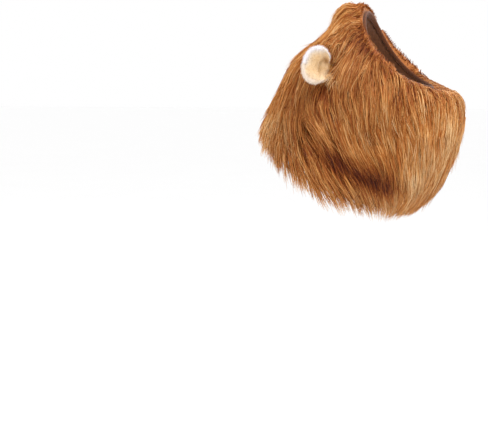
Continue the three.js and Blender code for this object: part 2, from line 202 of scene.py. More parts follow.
class Field:
    """A node's output, with the arithmetic of Math nodes."""

    def __init__(self, tree, made, output):
        self.tree, self.made, self.output = tree, made, output

    def of(self, name):
        return Field(self.tree, self.made, self.made.outputs[name])

    __add__ = __radd__ = math_node("ADD")
    __sub__ = math_node("SUBTRACT")
    __rsub__ = math_node("SUBTRACT", True)
    __mul__ = __rmul__ = math_node("MULTIPLY")
    __truediv__ = math_node("DIVIDE")
    __pow__ = math_node("POWER")
    sine = math_node("SINE")
    magnitude = math_node("ABSOLUTE")
    at_most = math_node("MINIMUM")


class Tree:
    """A node tree, of a material or of Geometry Nodes."""

    def __init__(self, tree):
        self.tree = tree

    def node(self, kind, settings=None, sockets=None):
        """A node of a type, with its settings first, then the values or links of its sockets."""
        made = self.tree.nodes.new(kind)
        settings = dict(settings or {})
        stops = settings.pop("stops", None)
        for name, value in settings.items():
            setattr(made, name, value)
        if stops:
            ramp = made.color_ramp
            while len(ramp.elements) < len(stops):
                ramp.elements.new(1.0)
            for element, (place, colour) in zip(ramp.elements, stops):
                element.position = place
                element.color = (*colour, 1.0)
        for name, value in (sockets or {}).items():
            socket = made.inputs[name]
            if isinstance(value, Field):
                self.tree.links.new(value.output, socket)
            else:
                socket.default_value = value
        shown = [o for o in made.outputs if o.enabled]
        return Field(self, made, shown[0] if shown else None)

    def vector(self, operation, *terms):
        return self.node("ShaderNodeVectorMath", {"operation": operation}, dict(enumerate(terms)))

    def scaled(self, vector, factor):
        return self.node("ShaderNodeVectorMath", {"operation": "SCALE"}, {0: vector, "Scale": factor})


def geometry_tree(name, inputs):
    """A Geometry Nodes tree and its inputs, each given as a name, a socket type and a value."""
    group = bpy.data.node_groups.new(name, "GeometryNodeTree")
    group.interface.new_socket("Geometry", in_out="INPUT", socket_type="NodeSocketGeometry")
    group.interface.new_socket("Geometry", in_out="OUTPUT", socket_type="NodeSocketGeometry")
    for label, kind, value in inputs:
        socket = group.interface.new_socket(label, in_out="INPUT", socket_type="NodeSocket" + kind)
        if value is not None:
            socket.default_value = value
    tree = Tree(group)
    given = tree.node("NodeGroupInput")
    return tree, {socket.name: given.of(socket.name) for socket in given.made.outputs if socket.name}


def end_tree(tree, geometry, material):
    """Ends a tree in Realize Instances and Set Material."""
    real = tree.node("GeometryNodeRealizeInstances", {}, {"Geometry": geometry})
    finished = tree.node("GeometryNodeSetMaterial", {}, {"Geometry": real, "Material": material})
    tree.node("NodeGroupOutput", {}, {"Geometry": finished})
    return tree.tree


def placed(name, data):
    """A new object in the scene."""
    made = bpy.data.objects.new(name, data)
    bpy.context.scene.collection.objects.link(made)
    return made


def grown(name, source, group, values):
    """A plain mesh object made by a Geometry Nodes tree on a source mesh, with the tree's inputs set by name."""
    source_object = placed(name + "_source", source)
    modifier = source_object.modifiers.new("Growth", "NODES")
    modifier.node_group = group
    for socket in group.interface.items_tree:
        if socket.in_out == "INPUT" and socket.name in values:
            modifier[socket.identifier] = values[socket.name]
    evaluated = source_object.evaluated_get(bpy.context.evaluated_depsgraph_get())
    mesh = bpy.data.meshes.new_from_object(evaluated)
    mesh.name = name
    source_object.modifiers.remove(modifier)
    bpy.data.objects.remove(source_object)
    return placed(name, mesh)


def point_attribute(mesh, name, values, kind="FLOAT"):
    """Stores a number, a whole number or a vector on each point of a mesh."""
    number_type = np.int32 if kind == "INT" else np.float32
    stored = mesh.attributes.new(name, kind, "POINT").data
    stored.foreach_set("vector" if kind == "FLOAT_VECTOR" else "value", np.asarray(values, number_type).ravel())


def read(items, name, size=1, number_type=np.int32):
    """One property of all of a mesh's corners, faces or points."""
    values = np.empty(len(items) * size, number_type)
    items.foreach_get(name, values)
    return values


def write_uv(mesh, name, u, v):
    uv = mesh.uv_layers.new(name=name)
    uv.data.foreach_set("uv", np.stack([u, v], -1).ravel().astype(np.float32))


def colour(red, green, blue):
    """A colour given as it shows on a screen, from 0 to 255, in the linear values that materials take."""
    return tuple((c / 255) ** 2.2 for c in (red, green, blue))


# Hair

HAIR_POINTS = 5
HAIR_SIDES = 3
random = np.random.default_rng(7)


def strand_tree():
    """Hairs round guides. Each guide is a row of points with a lock number and a step, an outward direction, a tone
    and a fineness, and its hairs start spread out round it and gather towards its tip."""
    tree, given = geometry_tree("hair_strands", [
        ("Hairs in a lock", "Int", 6),
        ("Thickness", "Float", 0.0007),
        ("Spread", "Float", 0.0055),
        ("Gathered at tip", "Float", 0.4),
        ("Shortest", "Float", 0.7),
        ("Stray", "Float", 0.004),
        ("Seed", "Int", 1),
        ("Finish", "Material", None),
    ])

    def attribute(name, kind="FLOAT"):
        return tree.node("GeometryNodeInputNamedAttribute", {"data_type": kind}, {"Name": name})

    def store(geometry, name, value, domain="CURVE"):
        return tree.node(
            "GeometryNodeStoreNamedAttribute", {"data_type": "FLOAT", "domain": domain},
            {"Geometry": geometry, "Name": name, "Value": value},
        )

    points = tree.node("GeometryNodeMeshToPoints", {}, {"Mesh": given["Geometry"]})
    guides = tree.node(
        "GeometryNodePointsToCurves", {},
        {"Points": points, "Curve Group ID": attribute("lock", "INT"), "Weight": attribute("step")},
    )
    hairs = tree.node(
        "GeometryNodeDuplicateElements", {"domain": "SPLINE"},
        {"Geometry": guides, "Amount": given["Hairs in a lock"]},
    )
    index = tree.node("GeometryNodeInputIndex")

    # Each hair's own numbers, up to 1 from the lowest
    own_numbers = (
        ("sideways", -1.0), ("outwards", -1.0), ("shade", 0.0),
        ("own_length", 0.0), ("stray_side", -1.0), ("stray_out", -1.0),
    )
    for salt, (name, lowest) in enumerate(own_numbers):
        number = tree.node(
            "FunctionNodeRandomValue", {"data_type": "FLOAT"},
            {2: lowest, 3: 1.0, "ID": index, "Seed": given["Seed"] + salt},
        )
        hairs = store(hairs, name, number)
    ends = given["Shortest"] + (1 - given["Shortest"]) * attribute("own_length")
    hairs = tree.node("GeometryNodeTrimCurve", {"mode": "FACTOR"}, {"Curve": hairs, 2: 0.0, 3: ends})
    hairs = tree.node("GeometryNodeResampleCurve", {"mode": "COUNT"}, {"Curve": hairs, "Count": HAIR_POINTS})
    place = tree.node("GeometryNodeSplineParameter").of("Factor")
    hairs = store(hairs, "along_hair", place, "POINT")

    tangent = tree.node("GeometryNodeInputTangent")
    out = attribute("out", "FLOAT_VECTOR")
    side = tree.vector("NORMALIZE", tree.vector("CROSS_PRODUCT", tangent, out))
    gathered = 1 - (1 - given["Gathered at tip"]) * (place ** 1.3)
    spread = given["Spread"] * gathered
    strayed = given["Stray"] * (place ** 2) * attribute("fine")

    def stray(name):
        """How far each hair strays one way, which is little for most of them."""
        return attribute(name) * attribute(name).magnitude() * strayed

    sideways = attribute("sideways") * spread + stray("stray_side") * 2.0
    outwards = attribute("outwards") * spread * 0.35 + stray("stray_out")
    offset = tree.vector("ADD", tree.scaled(side, sideways), tree.scaled(out, outwards))
    hairs = tree.node("GeometryNodeSetPosition", {}, {"Geometry": hairs, "Offset": offset})

    profile = tree.node(
        "GeometryNodeCurvePrimitiveCircle", {"mode": "RADIUS"},
        {"Resolution": HAIR_SIDES, "Radius": given["Thickness"]},
    )
    slim_ends = 1.05 - 0.9 * (place ** 2.5) - 0.65 * ((1 - place) ** 8)
    taper = slim_ends * (0.75 + 0.5 * attribute("own_length")) * attribute("fine")
    strands = tree.node(
        "GeometryNodeCurveToMesh", {},
        {"Curve": hairs, "Profile Curve": profile, "Scale": taper, "Fill Caps": True},
    )
    strands = tree.node(
        "GeometryNodeSetShadeSmooth", {"domain": "FACE"}, {"Geometry": strands, "Shade Smooth": True},
    )
    return end_tree(tree, strands, given["Finish"])


GUIDE_STEPS = 9  # points in a guide
WALK = 32  # steps taken over the coat to find them
LOCK_WIDTH = 0.05  # the widest gap that a lock closes
ROOT_CLEARANCE = 0.0008  # how far above the cap the deepest hairs root


def guide_paths(along, angle, length, end, wander, lean):
    """Points on the coat that hairs follow from their roots, with their outward directions and where on the coat
    they are. A path stops at its length or at its end along the wig, and leans a little to one side of the way that
    the hair lies. All are arrays, with a row for each guide."""
    track = []
    stride = length / WALK
    for _ in range(WALK + 1):
        point, down, around, out = coat_frame(along, angle)
        track.append(np.concatenate([point, out, along[:, None], angle[:, None]], 1))
        way = hair_way(down, out, along, angle)
        turn = wander * (np.sin(9.0 * angle + 5.0 * along + 1.3) + 0.6 * np.sin(23.0 * angle - 11.0 * along))
        way = unit(way + np.cross(out, way) * (turn + lean)[:, None])
        dd, dr, rr = dot(down, down)[:, 0], dot(down, around)[:, 0], dot(around, around)[:, 0]
        wd, wr = dot(way, down)[:, 0], dot(way, around)[:, 0]
        area = dd * rr - dr * dr
        along = along + stride * (wd * rr - wr * dr) / area
        angle = angle + stride * (wr * dd - wd * dr) / area
    track = np.stack(track, 1)
    past = track[:, :, 6] > end[:, None]
    last = np.where(past.any(1), np.maximum(past.argmax(1), WALK // 4), WALK)
    places = last[:, None] * np.linspace(0, 1, GUIDE_STEPS)[None, :]
    low = np.minimum(places.astype(int), WALK - 1)
    share = (places - low)[..., None]
    each = np.arange(len(track))[:, None]
    path = track[each, low] * (1 - share) + track[each, low + 1] * share
    return path[..., :3], unit(path[..., 3:6]), path[..., 6], path[..., 7]


# Painted light and shade on the hair, where it is paler or darker than the rest. The paler patches are painted light
# where light falls most, on the front, the crown and the lower locks; the darker ones are painted shade under the
# ears, near the face opening and where the upper mane lies over the lower one. Columns: along, degrees round from the
# front, how far it reaches along and round, and how much paler it is
LIGHT_AND_SHADE_PATCHES = np.array([
    (0.50, 20, 0.50, 40, 0.10),
    (0.90, 22, 0.35, 16, 0.10),
    (1.05, 32, 0.15, 12, 0.18),
    (0.15, 168, 0.15, 36, 0.06),
    (1.20, 141, 0.24, 18, 0.18),
    (0.21, 36, 0.09, 12, -0.20),
    (0.10, 116, 0.08, 18, -0.14),
    (0.30, 62, 0.18, 14, -0.14),
    (0.62, 112, 0.10, 12, -0.06),
    (0.80, 130, 0.18, 16, -0.04),
    (1.06, 80, 0.10, 32, -0.34),
    (1.14, 52, 0.09, 15, -0.34),
    (0.45, 95, 0.20, 16, -0.08),
    (0.66, 116, 0.07, 12, -0.12),
])


def coat_tone_light_and_shade(along, angle):
    """How pale the hair is, from 0 to 1, at a place on the coat: paler at the tips, paler at the front as painted
    light, and darker as painted shade under the ears and where the upper mane parts from the lower one."""
    around = np.abs((np.degrees(angle) + 180) % 360 - 180)
    total = 0.50 + 0.10 * smooth((along - 1.30) / 0.18)
    for place, turn, long, wide, paler in LIGHT_AND_SHADE_PATCHES:
        total = total + paler * np.exp(-(((along - place) / long) ** 2) - ((around - turn) / wide) ** 2)
    return total


def ear_frame():
    """The frame of the ear at -X on the coat: its seat, and across, forward and up. The other ear mirrors it."""
    point, down, _, out = (v[0] for v in coat_frame(np.array([EAR_ALONG]), np.array([-EAR_ANGLE])))
    down = unit(down)

    def turned(vector, axis, by):
        axis = unit(axis)
        kept_part = axis * (axis @ vector) * (1 - math.cos(by))
        return vector * math.cos(by) + np.cross(axis, vector) * math.sin(by) + kept_part

    up = turned(out, np.cross(out, down), EAR_DROOP)
    forward = unit(turned(np.cross(up, down), up, EAR_TURN))
    across = unit(np.cross(forward, up))
    return point, across, forward, up


def tier(
    along, count, length, height, depth, *, tone=0.0, locks=0.5, wander=0.10, middle=0.0, reach=math.pi, lift=0.002,
    rise=0.0, end=9.0, fine=1.0,
):
    """One tier of guides that root round the wig at one place along it, as far as reach either side of an angle.
    length, in metres, height, how far they lie above the coat, and depth, how far below it they root, vary a little.
    tone makes them paler. locks is how much neighbours gather into larger locks at their tips, and wander how much
    they wave. lift raises the tips, rise makes the hair stand up before it falls, and end is where along the wig the
    tips stop. fine is the hairs' thickness and looseness as a share of the rest's."""
    angle = middle + reach * (2 * (np.arange(count) + random.uniform(-0.35, 0.35, count)) / count - 1)
    angle = (angle + math.pi) % (2 * math.pi) - math.pi
    roots = np.maximum(along + random.uniform(-0.012, 0.012, count), 0.002)
    lengths = length * random.uniform(0.86, 1.14, count)
    ends = end + random.uniform(-0.05, 0.03, count) + 0.07 * np.sin(angle) ** 2
    lean = random.normal(0.0, 0.07, count)
    points, outs, alongs, angles = guide_paths(roots, angle, lengths, ends, wander, lean)
    t = np.linspace(0, 1, GUIDE_STEPS)

    group = 6 + random.integers(0, 4)
    leader = np.minimum((np.arange(count) // group) * group + group // 2, count - 1)
    together = (np.linalg.norm(points[leader] - points, axis=-1).max(1) < LOCK_WIDTH)[:, None, None]
    pull = locks * smooth((t - 0.25) / 0.75)[None, :, None] * together
    points = points + (points[leader] - points) * pull
    of_lock = random.uniform(-1, 1, count)[leader]

    at_side = np.sin(angle) ** 2
    rise = rise * (1 - at_side)
    pile = rows_at(COAT, roots)[:, 4] * PILE_DEPTH
    deep = np.minimum(depth, pile - ROOT_CLEARANCE)
    top = height + 0.0022 * of_lock * (lift > 0) + random.uniform(-0.0025, 0.0025, count)
    above = -deep[:, None] + (top + deep)[:, None] * smooth(t / 0.4) + lift * t**3 * (1 + of_lock[:, None])
    above = above + (rise * (1 + 0.3 * of_lock))[:, None] * np.sin(math.pi * t**0.75)
    points = points + outs * above[..., None]
    own_tone = 0.07 * of_lock + random.uniform(-0.09, 0.09, count)
    # The coat's painted light and shade go into each guide's tone here, with the tier's own tone and the lock's.
    tones = coat_tone_light_and_shade(alongs, angles) + tone + own_tone[:, None]
    return points, outs, tones, np.full(count, fine)


def tiers(places, count, length, height, depth, **more):
    """A tier at each of several places along the wig, all at one height or each at its own."""
    heights = np.broadcast_to(height, len(places))
    return [tier(along, count, length, each, depth, **more) for along, each in zip(places, heights)]


def clear_of_ears(points, outs, tones, fine):
    """Cuts guides short where they reach an ear's root, and leaves out those that grow inside it."""
    seat, across, forward, up = ear_frame()
    middle = seat + forward * EAR_ROOT_MIDDLE[1] + across * EAR_ROOT_MIDDLE[0]
    steps = np.arange(GUIDE_STEPS)

    def cut(values, places):
        return np.stack([np.interp(places, steps, column) for column in values.T], 1)

    kept = []
    for path, out, tone, fineness in zip(points, outs, tones, fine):
        away = path * [-1 if path[0][0] > 0 else 1, 1, 1] - middle
        along_up = away @ up
        aside = np.linalg.norm(away - along_up[:, None] * up, axis=1)
        inside = (aside < EAR_ROOT_RADIUS) & (along_up > EAR_ROOT_SPAN[0]) & (along_up < EAR_ROOT_SPAN[1])
        if inside.any():
            first = int(np.argmax(inside))
            if first < 3:
                continue
            places = np.linspace(0, first - 0.6, GUIDE_STEPS)
            path, out = cut(path, places), cut(out, places)
        kept.append((path, out, tone, fineness))
    return tuple(np.array(part) for part in zip(*kept))


def guide_mesh(name, guides):
    """A mesh of single points for some tiers of guides, with what the hairs need to know at each."""
    points, outs, tones, fine = (np.concatenate(part) for part in zip(*guides))
    mesh = bpy.data.meshes.new(name + "_guides")
    mesh.from_pydata(points.reshape(-1, 3).tolist(), [], [])
    count = len(points)
    point_attribute(mesh, "lock", np.repeat(np.arange(count), GUIDE_STEPS), "INT")
    point_attribute(mesh, "step", np.tile(np.arange(GUIDE_STEPS), count))
    point_attribute(mesh, "tone", tones)
    point_attribute(mesh, "fine", np.repeat(fine, GUIDE_STEPS))
    point_attribute(mesh, "out", outs, "FLOAT_VECTOR")
    return mesh


def strand_uv(mesh):
    """Gives each hair its own upright strip of a square, for a map that follows the hairs."""
    per_hair = HAIR_POINTS * HAIR_SIDES
    hairs = len(mesh.vertices) // per_hair
    columns = math.ceil(math.sqrt(hairs * 8))
    rows = math.ceil(hairs / columns)
    corners = read(mesh.loops, "vertex_index")
    hair, ring, side = corners // per_hair, corners % per_hair // HAIR_SIDES, corners % HAIR_SIDES
    starts, totals = read(mesh.polygons, "loop_start"), read(mesh.polygons, "loop_total")
    face = np.repeat(np.arange(len(starts)), totals)
    widest = np.maximum.reduceat(side, starts)[face]
    narrowest = np.minimum.reduceat(side, starts)[face]
    wraps = (widest == HAIR_SIDES - 1) & (narrowest == 0) & (totals[face] == 4)
    across = np.where(wraps & (side == 0), HAIR_SIDES, side) / HAIR_SIDES
    u = (hair % columns + 0.1 + 0.8 * across) / columns
    v = (hair // columns + 0.04 + 0.92 * ring / (HAIR_POINTS - 1)) / rows
    write_uv(mesh, "OFBake", u, v)


# Finishes


def material(name, roughness, sheen=0.0, specular=0.5):
    made = bpy.data.materials.new(name)
    made.use_nodes = True
    made.node_tree.nodes.clear()
    tree = Tree(made.node_tree)
    shader = tree.node("ShaderNodeBsdfPrincipled", {}, {
        "Roughness": roughness, "Sheen Weight": sheen, "Specular IOR Level": specular,
    })
    tree.node("ShaderNodeOutputMaterial", {}, {"Surface": shader})
    return made, tree, shader.made


def link(field, shader, name):
    field.tree.tree.links.new(field.output, shader.inputs[name])


def mixed(tree, factor, a, b):
    """Two colours mixed. Each is a colour or a field."""
    made = tree.node("ShaderNodeMix", {"data_type": "RGBA"}, {0: factor})
    for socket, value in ((made.made.inputs[6], a), (made.made.inputs[7], b)):
        if isinstance(value, Field):
            tree.tree.links.new(value.output, socket)
        else:
            socket.default_value = (*value, 1.0)
    return Field(tree, made.made, made.made.outputs[2])


def on_object(tree):
    return tree.node("ShaderNodeTexCoord").of("Object")


def stored(tree, name):
    """A number that each point of the mesh has."""
    return tree.node("ShaderNodeAttribute", {"attribute_name": name}).of("Fac")


def noise(tree, where, scale, detail, dimensions="3D", distortion=0.0):
    return tree.node("ShaderNodeTexNoise", {"noise_dimensions": dimensions}, {
        "Vector": where, "Scale": scale, "Detail": detail, "Distortion": distortion,
    })


def relief(tree, shader, strength, distance, height):
    bump = tree.node("ShaderNodeBump", {}, {"Strength": strength, "Distance": distance, "Height": height})
    link(bump, shader, "Normal")


# From the darkest, the painted shade deep in a parting, to the palest tips
HAIR_COLOURS = [
    (0.0, colour(66, 24, 4)),
    (0.25, colour(124, 57, 16)),
    (0.5, colour(180, 107, 48)),
    (0.72, colour(212, 152, 88)),
    (1.0, colour(244, 208, 156)),
]


def hair_colour(tree, value):
    return tree.node("ShaderNodeValToRGB", {"stops": HAIR_COLOURS}, {"Fac": value})


def hair_finish():
    """Long synthetic hair: darker roots, paler tips, and a shade of its own for each hair and each lock."""
    made, tree, shader = material("long_golden_hair", 0.5, 0.0, 0.25)
    patches = noise(tree, on_object(tree), 14.0, 3.0)
    # tone brings the coat's painted light and shade, as well as each lock's own tone
    value = (
        stored(tree, "tone")
        + (stored(tree, "shade") - 0.5) * 0.44
        + (patches - 0.5) * 0.34
        + (stored(tree, "along_hair") - 0.5) * 0.20
    )
    link(hair_colour(tree, value), shader, "Base Color")
    streaks = noise(tree, on_object(tree), 900.0, 1.0)
    link(0.42 + streaks * 0.14, shader, "Roughness")
    return made


def shaded_under_finish():
    """The hair below the outer locks, streaked along the way that it lies, and dark with painted shade."""
    made, tree, shader = material("shaded_under_hair", 0.62, 0.08, 0.3)
    lie = tree.node("ShaderNodeUVMap", {"uv_map": "lie"})
    fine = tree.node("ShaderNodeMapping", {}, {"Vector": lie, "Scale": (420.0, 6.0, 1.0)})
    broad = tree.node("ShaderNodeMapping", {}, {"Vector": lie, "Scale": (90.0, 2.5, 1.0)})
    hairs = noise(tree, fine, 1.0, 3.0, "2D", 0.4)
    locks = noise(tree, broad, 1.0, 2.0, "2D", 0.6)
    value = stored(tree, "tone") + (hairs - 0.5) * 0.5 + (locks - 0.5) * 0.4
    link(hair_colour(tree, value), shader, "Base Color")
    relief(tree, shader, 0.8, 0.002, hairs + locks * 2.0)
    return made


def plush_finish(name, pale, deep, hollow, border):
    """Short plush: a mottle, pale at the pile's tips and deeper between them with painted shade, darker in hollow
    places with painted shade, and of another colour towards the ear's border."""
    made, tree, shader = material(name, 0.9, 0.35, 0.2)
    pile = noise(tree, on_object(tree), 520.0, 3.0)
    tufts = noise(tree, on_object(tree), 75.0, 2.0)
    plush = mixed(tree, (pile * 0.6 + tufts * 0.7 - 0.15).at_most(1.0), deep, pale)
    # hollow is the colour of the painted shade in the ear's creases, recess, lobe and foot
    plush = mixed(tree, stored(tree, "hollow"), plush, hollow)
    link(mixed(tree, stored(tree, "border"), plush, border), shader, "Base Color")
    relief(tree, shader, 0.7, 0.0012, pile + tufts * 1.5)
    return made


def knit_finish(name, light, dark, wales):
    """Stretch knit: rows of loops round the cap, from a UV map in metres, with so many wales to a metre."""
    made, tree, shader = material(name, 0.88, 0.2, 0.25)
    cloth = tree.node("ShaderNodeUVMap", {"uv_map": "cloth"})
    parts = tree.node("ShaderNodeSeparateXYZ", {}, {"Vector": cloth})
    turns = 2 * math.pi * wales
    lean = (parts.of("X") * turns).sine().magnitude()
    course = (parts.of("Y") * turns * 1.35 + lean * 2.2).sine()
    loops = lean * 0.6 + course * 0.25 + 0.25
    fibres = noise(tree, cloth, 700.0, 2.0, "2D")
    worn = noise(tree, cloth, 18.0, 3.0, "2D")
    share = loops * 0.6 + fibres * 0.3 + worn * 0.3 - 0.1
    link(mixed(tree, share.at_most(1.0), dark, light), shader, "Base Color")
    relief(tree, shader, 0.6, 0.0006, loops + fibres * 0.4)
    return made


def thread_finish():
    made, tree, shader = material("stitching_thread", 0.55, 0.1, 0.4)
    twist = noise(tree, on_object(tree), 1500.0, 1.0)
    link(mixed(tree, twist, colour(58, 33, 18), colour(110, 68, 38)), shader, "Base Color")
    return made


# Meshes


def mesh_object(name, points, faces, finish):
    mesh = bpy.data.meshes.new(name)
    mesh.from_pydata(np.asarray(points).reshape(-1, 3).tolist(), [], [tuple(int(i) for i in face) for face in faces])
    mesh.polygons.foreach_set("use_smooth", [True] * len(mesh.polygons))
    mesh.materials.append(finish)
    mesh.update()
    return placed(name, mesh)


def grid_faces(rows, columns, closed=False):
    """Quads over a grid of points, numbered row by row. A closed grid joins on to itself both ways."""
    r = np.arange(rows if closed else rows - 1)[:, None]
    c = np.arange(columns if closed else columns - 1)[None, :]
    r2, c2 = (r + 1) % rows, (c + 1) % columns
    return np.stack([r * columns + c, r * columns + c2, r2 * columns + c2, r2 * columns + c], -1).reshape(-1, 4)


def facing_out(made):
    """Turns a closed mesh to face outwards, by its volume."""
    mesh = made.data
    mesh.calc_loop_triangles()
    points = read(mesh.vertices, "co", 3, np.float32)
    triangles = read(mesh.loop_triangles, "vertices", 3)
    a, b, c = points.reshape(-1, 3)[triangles.reshape(-1, 3)].astype(float).transpose(1, 0, 2)
    if (a * np.cross(b, c)).sum() < 0:
        mesh.flip_normals()
    return made


def wrapped_uv(mesh, name, rows, columns, u_length, v_places):
    """A UV map on a grid that is closed round both ways. u runs round, and v along its rows."""
    corners = read(mesh.loops, "vertex_index")
    row, column = corners // columns, corners % columns
    face = np.repeat(np.arange(len(mesh.polygons)), 4)
    u = column.astype(float)
    starts = np.arange(0, len(corners), 4)
    spans = (np.maximum.reduceat(column, starts) - np.minimum.reduceat(column, starts))[face]
    u[(spans > columns / 2) & (column == 0)] = columns
    v = np.asarray(v_places)[row]
    write_uv(mesh, name, u / columns * u_length, v)


def ring_body(name, rings, finish, uv_name, u_length, v_places):
    """A closed body through rings of points, with a UV map round and along it."""
    sides = len(rings[0])
    made = mesh_object(name, np.array(rings), grid_faces(len(rings), sides, True), finish)
    facing_out(made)
    wrapped_uv(made.data, uv_name, len(rings), sides, u_length, v_places)
    return made


def round_angles(sides):
    return np.linspace(-math.pi, math.pi, sides, endpoint=False)


def dress(piece, node, slot):
    """Lets a piece stand for a node: it is attached to the root body and the node's imported part is hidden. slot is
    not used.
    """
    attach(piece, root)
    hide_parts(node)


root = "root"

# The hair's underlayers

hair = hair_finish()
under = shaded_under_finish()


def own_waves(size):
    """Soft uneven heights round and along the hair, from a few fixed waves."""
    waves = [
        (random.integers(5, 40), random.uniform(4, 30), random.uniform(0, 6.28), random.uniform(0.4, 1.0))
        for _ in range(9)
    ]

    def height(along, angles):
        total = sum(strength * np.sin(n * angles + k * along + phase) for n, k, phase, strength in waves)
        return size * total / 3
    return height


waves = own_waves(0.003)


def uneven(raised):
    """The coat's surface, raised by a function of the place along it, with soft waves, which die away at the face
    opening."""
    def shape(along, angles):
        places = np.full_like(angles, along)
        point, _, _, out = coat_frame(places, angles)
        return point + out * (raised(along) + waves(places, angles) * smooth(along / 0.15))[:, None]
    return shape


def off_cap(more):
    """The cap's inner face, moved outwards."""
    def shape(along, angles):
        return section_point(along, angles, 0.0, more) - CROWN_SEAT
    return shape


def hollowed(along, angles):
    """The skirt's inner face, which opens out below the cap."""
    share = SKIRT_HOLLOW * float(smooth((along - 1) / (SKIRT_END - 1)))
    return section_point(along, angles, max(share, 1e-6), HEM_STAND - CAP_WALL) - CROWN_SEAT


def under_layer(name, node, slot, outer, inner, tone):
    """A closed hollow body of hair below the outer locks. Its two faces are given as shapes, each with its places
    along the cap, and tone is a function of the place."""
    angles = round_angles(160)
    order = [(along, shape) for shape, places in outer for along in places]
    order += [(along, shape) for shape, places in inner for along in places][::-1]
    places = [along for along, _ in order]
    made = ring_body(name, [shape(along, angles) for along, shape in order], under, "lie", 1.0, places)
    point_attribute(made.data, "tone", np.repeat([tone(along) for along in places], len(angles)))
    dress(made, node, slot)


UPPER_UNDER = (0.02, 0.84)
LOWER_UNDER = (0.845, 1.25)
over_hem = off_cap(HEM_STAND + UNDER_GAP)
over_cap = off_cap(CAP_WALL + UNDER_GAP)
under_layer(
    "upper_mane_underlayer", "upper_mane", "hair",
    [(uneven(lambda along: -0.009 + 0.0034 * float(smooth((0.12 - along) / 0.1))), np.linspace(*UPPER_UNDER, 40))],
    [(over_hem, (UPPER_UNDER[0], 0.058)), (over_cap, np.linspace(0.064, UPPER_UNDER[1], 14))],
    # Low tones make the under-hair dark, painted shade below the outer locks; near the face opening it is paler to
    # match them.
    lambda along: 0.27 + 0.20 * float(smooth((0.14 - along) / 0.1)),
)
under_layer(
    "lower_mane_underlayer", "lower_mane", "dark_hair",
    [
        (uneven(lambda along: -0.02), LOWER_UNDER[:1]),
        (
            uneven(lambda along: -0.018 + 0.008 * float(smooth((along - 0.85) / 0.4))),
            np.linspace(0.86, LOWER_UNDER[1], 26),
        ),
    ],
    [
        (over_cap, np.linspace(LOWER_UNDER[0], 0.935, 4)),
        (over_hem, (0.945,)),
        (hollowed, np.linspace(1.0, LOWER_UNDER[1], 10)),
    ],
    # Lower still: painted shade below the lower mane's locks.
    lambda along: 0.16,
)

# The hair's locks

strands = strand_tree()


def hair_piece(name, guides, node, slot, **sizes):
    """Locks grown on some tiers of guides, to stand for a node."""
    piece = grown(name, guide_mesh(name, guides), strands, {**sizes, "Finish": hair})
    strand_uv(piece.data)
    dress(piece, node, slot)


# Upper mane: the rim of the face opening and its tuft at the nape, then tiers back to the parting
NAPE = math.pi
EAR_CURLS = math.radians(113)
EAR_BROW = math.radians(135)
rim_tiers = [
    tier(0.000, 160, 0.026, 0.0, 0.0056, locks=0.0, wander=0.12, lift=0.0, fine=0.9),
    tier(0.000, 190, 0.070, 0.0, 0.0046, tone=-0.02, locks=0.3, wander=0.12, lift=0.0, rise=0.002, fine=0.7),
    tier(0.016, 170, 0.085, 0.0005, 0.0060, locks=0.4, wander=0.15, lift=0.001, rise=0.003, fine=0.85),
    tier(0.012, 20, 0.085, 0.003, 0.006, tone=0.06, wander=0.25, middle=NAPE, reach=0.36, rise=0.006),
    tier(0.035, 20, 0.090, 0.002, 0.006, tone=0.04, wander=0.25, middle=NAPE, reach=0.36, rise=0.004),
]
front_tiers = tiers(np.linspace(0.03, 0.21, 6), count=150, length=0.122, height=0.0005, depth=0.010, tone=0.02)
middle_tiers = tiers(np.linspace(0.25, 0.5, 6), count=170, length=0.124, height=-0.0005, depth=0.014)
back_tiers = tiers(np.linspace(0.54, 0.76, 6), count=176, length=0.118, height=-0.0005, depth=0.014)
# Short pale curls at the foot of each ear
curl_tiers = [
    tier(
        0.465, 8, 0.034, 0.006, 0.004, tone=0.40, locks=0.1, wander=0.35,
        middle=side * EAR_CURLS, reach=0.06, lift=0.008, rise=0.01, fine=0.7,
    )
    for side in (-1, 1)
]
# Fine loose hairs over the back, the front and the crown
loose_tiers = tiers(
    np.linspace(0.34, 1.08, 6), count=62, length=0.060, height=0.001, depth=0.006,
    tone=0.08, locks=0.0, wander=0.2, lift=0.005, fine=0.6,
)
# Hair from above each ear, which falls over its foot
brow_tiers = [
    tier(
        along, 12, 0.054, 0.008, 0.004, tone=0.02, locks=0.2,
        middle=side * EAR_BROW, reach=0.12, lift=0.0, rise=0.006,
    )
    for side in (-1, 1) for along in (0.22, 0.27)
]
for name, guides, hairs, seed in (
    ("upper_mane_front_locks", rim_tiers + front_tiers, 5, 11),
    ("upper_mane_middle_locks", middle_tiers, 6, 22),
    ("upper_mane_back_locks", back_tiers, 6, 33),
):
    guides = [clear_of_ears(*each) for each in guides]
    hair_piece(name, guides, "upper_mane", "hair", **{"Hairs in a lock": hairs, "Seed": seed})
hair_piece(
    "upper_mane_loose_hairs", loose_tiers + brow_tiers + curl_tiers, "upper_mane", "hair",
    **{"Hairs in a lock": 4, "Seed": 66, "Stray": 0.007},
)

# Lower mane: the tiers under the parting, and the skirt, whose tips end together along the hem
PARTING_HEIGHTS = np.linspace(-0.011, -0.003, 5)
SKIRT_HEIGHTS = (-0.003, -0.002, -0.004, -0.009, -0.014, -0.019)
parting_tiers = tiers(
    np.linspace(0.82, 1.02, 5), count=170, length=0.115, height=PARTING_HEIGHTS, depth=0.022, locks=0.4, end=1.45,
)
skirt_tiers = tiers(
    np.linspace(1.05, 1.22, 6), count=172, length=0.13, height=SKIRT_HEIGHTS, depth=0.020,
    locks=0.3, lift=0.001, end=1.49,
)
hair_piece("lower_mane_parting_locks", parting_tiers, "lower_mane", "dark_hair", **{"Seed": 44})
hair_piece(
    "lower_mane_skirt_locks", skirt_tiers, "lower_mane", "dark_hair",
    **{"Seed": 55, "Shortest": 0.62, "Gathered at tip": 0.7},
)


# Ears


